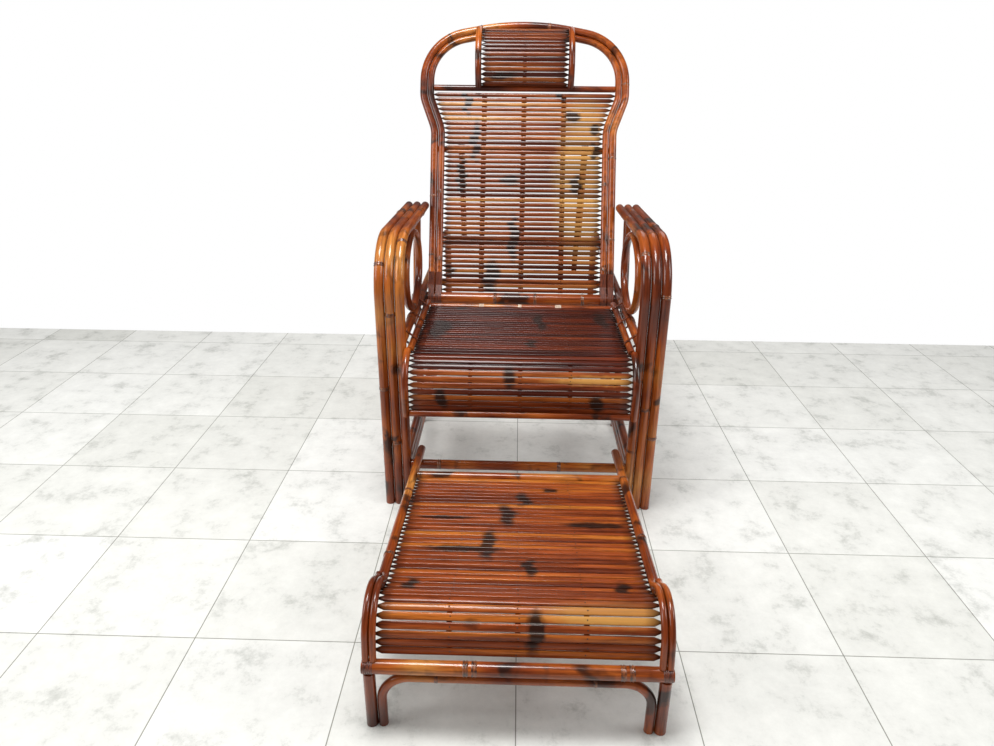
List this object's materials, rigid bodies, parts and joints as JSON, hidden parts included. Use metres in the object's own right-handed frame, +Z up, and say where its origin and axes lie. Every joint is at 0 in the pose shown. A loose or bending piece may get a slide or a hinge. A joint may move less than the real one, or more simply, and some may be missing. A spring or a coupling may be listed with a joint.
{
  "type": "folding recliner",
  "caption": "Bamboo folding recliner with slatted seat, reclining slatted back, small headrest, bent-cane arms and a sliding footrest.",
  "frame": {"origin": "on the floor, under the middle of the whole chair with its footrest out", "axes": "+Z up, +Y towards the chair's back, +X towards the sitter's left"},
  "size_m": [0.649, 1.5994, 1.1049],
  "materials": {
    "cane": "gloss",
    "slat": "gloss",
    "skin_strip": "satin",
    "dowel": "satin"
  },
  "bodies": {
    "chair_frame": {"left_inner_arm_cane": "cane", "right_inner_arm_cane": "cane", "left_middle_arm_cane": "cane", "right_middle_arm_cane": "cane", "left_outer_arm_cane": "cane", "right_outer_arm_cane": "cane", "arm_dowels": "dowel", "left_side_rail": "cane", "right_side_rail": "cane", "left_base_rails": "cane", "right_base_rails": "cane", "left_rear_post": "cane", "right_rear_post": "cane", "left_arm_ring": "cane", "right_arm_ring": "cane", "left_hinge_block": "cane", "right_hinge_block": "cane", "front_stretcher": "cane", "rear_stretcher": "cane", "left_rack": "cane", "right_rack": "cane", "rack_upper_rail": "cane", "rack_foot_rail": "cane", "left_seat_side_cane": "cane", "right_seat_side_cane": "cane", "left_seat_nose_cane": "cane", "right_seat_nose_cane": "cane", "seat_slats": "slat", "seat_rear_bar": "cane", "seat_front_bar": "cane", "seat_bearers": "cane", "seat_battens": "skin_strip", "seat_lashings": "skin_strip"},
    "hinge_rod": {"hinge_rod": "cane"},
    "backrest": {"back_outer_hoop": "cane", "back_inner_hoop": "cane", "back_slats": "slat", "back_hinge_straps": "skin_strip", "back_battens": "skin_strip", "prop_rod": "cane", "head_bar": "cane", "head_canes": "cane", "head_slats": "slat", "head_batten": "skin_strip"},
    "prop": {"prop_legs": "cane", "prop_foot_bar": "cane"},
    "footrest": {"left_footrest_side_cane": "cane", "right_footrest_side_cane": "cane", "left_footrest_bows": "cane", "right_footrest_bows": "cane", "footrest_slats": "slat", "footrest_front_rail": "cane", "footrest_rear_bar": "cane", "footrest_legs": "cane", "footrest_arch": "cane", "footrest_battens": "skin_strip"}
  },
  "joints": [
    {"name": "footrest_slide", "type": "slide", "parent": "chair_frame", "child": "footrest", "axis": [0, 1, 0], "range_m": [0, 0.55]},
    {"name": "backrest_recline", "type": "hinge", "parent": "chair_frame", "child": "hinge_rod", "pos_m": [0, 0.27125, 0.4], "axis": [-1, 0, 0], "range_deg": [-12.4, 14.4]},
    {"name": "backrest_fold", "type": "hinge", "parent": "hinge_rod", "child": "backrest", "pos_m": [0, 0.27125, 0.4], "axis": [1, 0, 0], "range_deg": [0, 70]},
    {"name": "prop_swing", "type": "hinge", "parent": "backrest", "child": "prop", "pos_m": [0, 0.45644, 0.77743], "axis": [-1, 0, 0], "range_deg": [-40.5, 35]}
  ],
  "couplings": [
    {"joint": "prop_swing", "follows": "backrest_recline", "ratio": -2.8}
  ]
}
